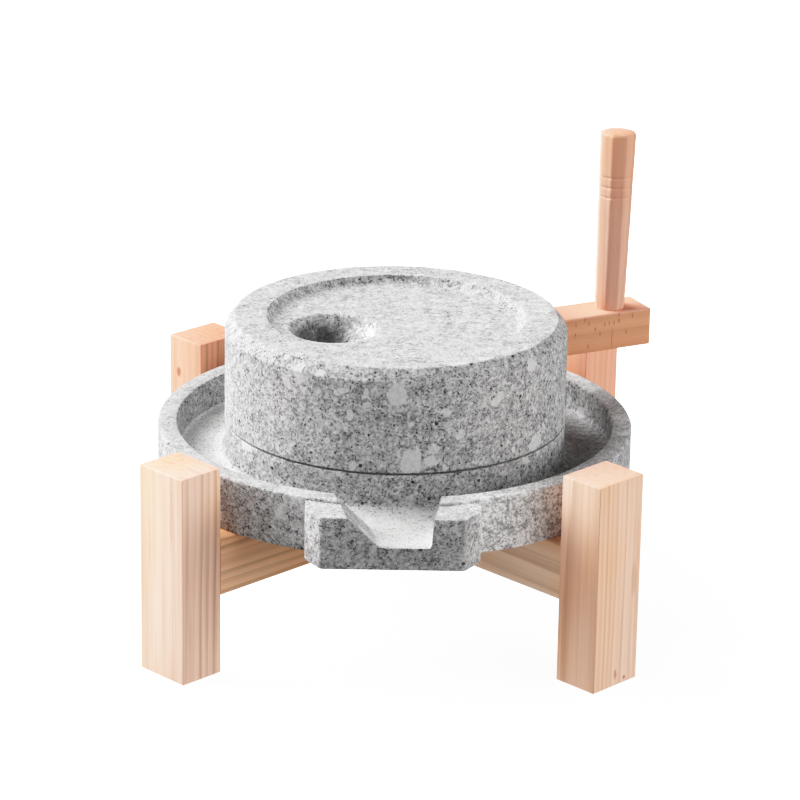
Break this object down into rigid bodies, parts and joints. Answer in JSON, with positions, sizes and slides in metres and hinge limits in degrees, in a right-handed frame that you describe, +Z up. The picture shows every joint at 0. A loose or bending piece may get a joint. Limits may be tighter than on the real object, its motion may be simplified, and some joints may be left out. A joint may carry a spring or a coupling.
{
  "type": "stone grain mill",
  "caption": "Hand-cranked granite mill: a runner stone with dish and feed eye turns on a lower stone with trough and spout, on a crossed timber stand, driven by a wooden arm and handle.",
  "frame": {"origin": "where the mill's vertical axis meets the floor", "axes": "+Z up along the mill's axis, -Y out of the spout, +X to the right for someone who faces the spout"},
  "size_m": [0.368, 0.3741, 0.3411],
  "materials": {
    "granite": "sawn and tooled, matt",
    "stand_wood": "planed softwood, unvarnished",
    "crank_wood": "planed softwood, unvarnished",
    "dowel_wood": "turned hardwood, unvarnished",
    "steel": "turned"
  },
  "bodies": {
    "stand": {"leg_front_left": "stand_wood", "leg_front_right": "stand_wood", "leg_back_left": "stand_wood", "leg_back_right": "stand_wood", "rail_lower": "stand_wood", "rail_upper": "stand_wood", "dowel_front_left_high": "dowel_wood", "dowel_front_left_low": "dowel_wood", "dowel_front_right_high": "dowel_wood", "dowel_front_right_low": "dowel_wood", "dowel_back_left_high": "dowel_wood", "dowel_back_left_low": "dowel_wood", "dowel_back_right_high": "dowel_wood", "dowel_back_right_low": "dowel_wood"},
    "bed": {"lower_stone": "granite", "lower_cup": "steel"},
    "spindle": {"spindle_pin": "steel"},
    "runner": {"runner_stone": "granite", "runner_cup": "steel", "crank_arm": "crank_wood", "arm_wedge": "dowel_wood"},
    "grip": {"crank_handle": "crank_wood"}
  },
  "joints": [
    {"name": "stone_lift", "type": "slide", "parent": "stand", "child": "bed", "axis": [0, 0, 1], "range_m": [0, 0.1]},
    {"name": "runner_spin", "type": "hinge", "parent": "bed", "child": "spindle", "pos_m": [0, 0, 0.1436], "axis": [0, 0, 1], "continuous": true},
    {"name": "runner_lift", "type": "slide", "parent": "spindle", "child": "runner", "axis": [0, 0, 1], "range_m": [0, 0.08]},
    {"name": "handle_spin", "type": "hinge", "parent": "runner", "child": "grip", "pos_m": [0.15957, 0.07887, 0.2046], "axis": [0.0156, 0.0077, 0.9998], "continuous": true}
  ]
}
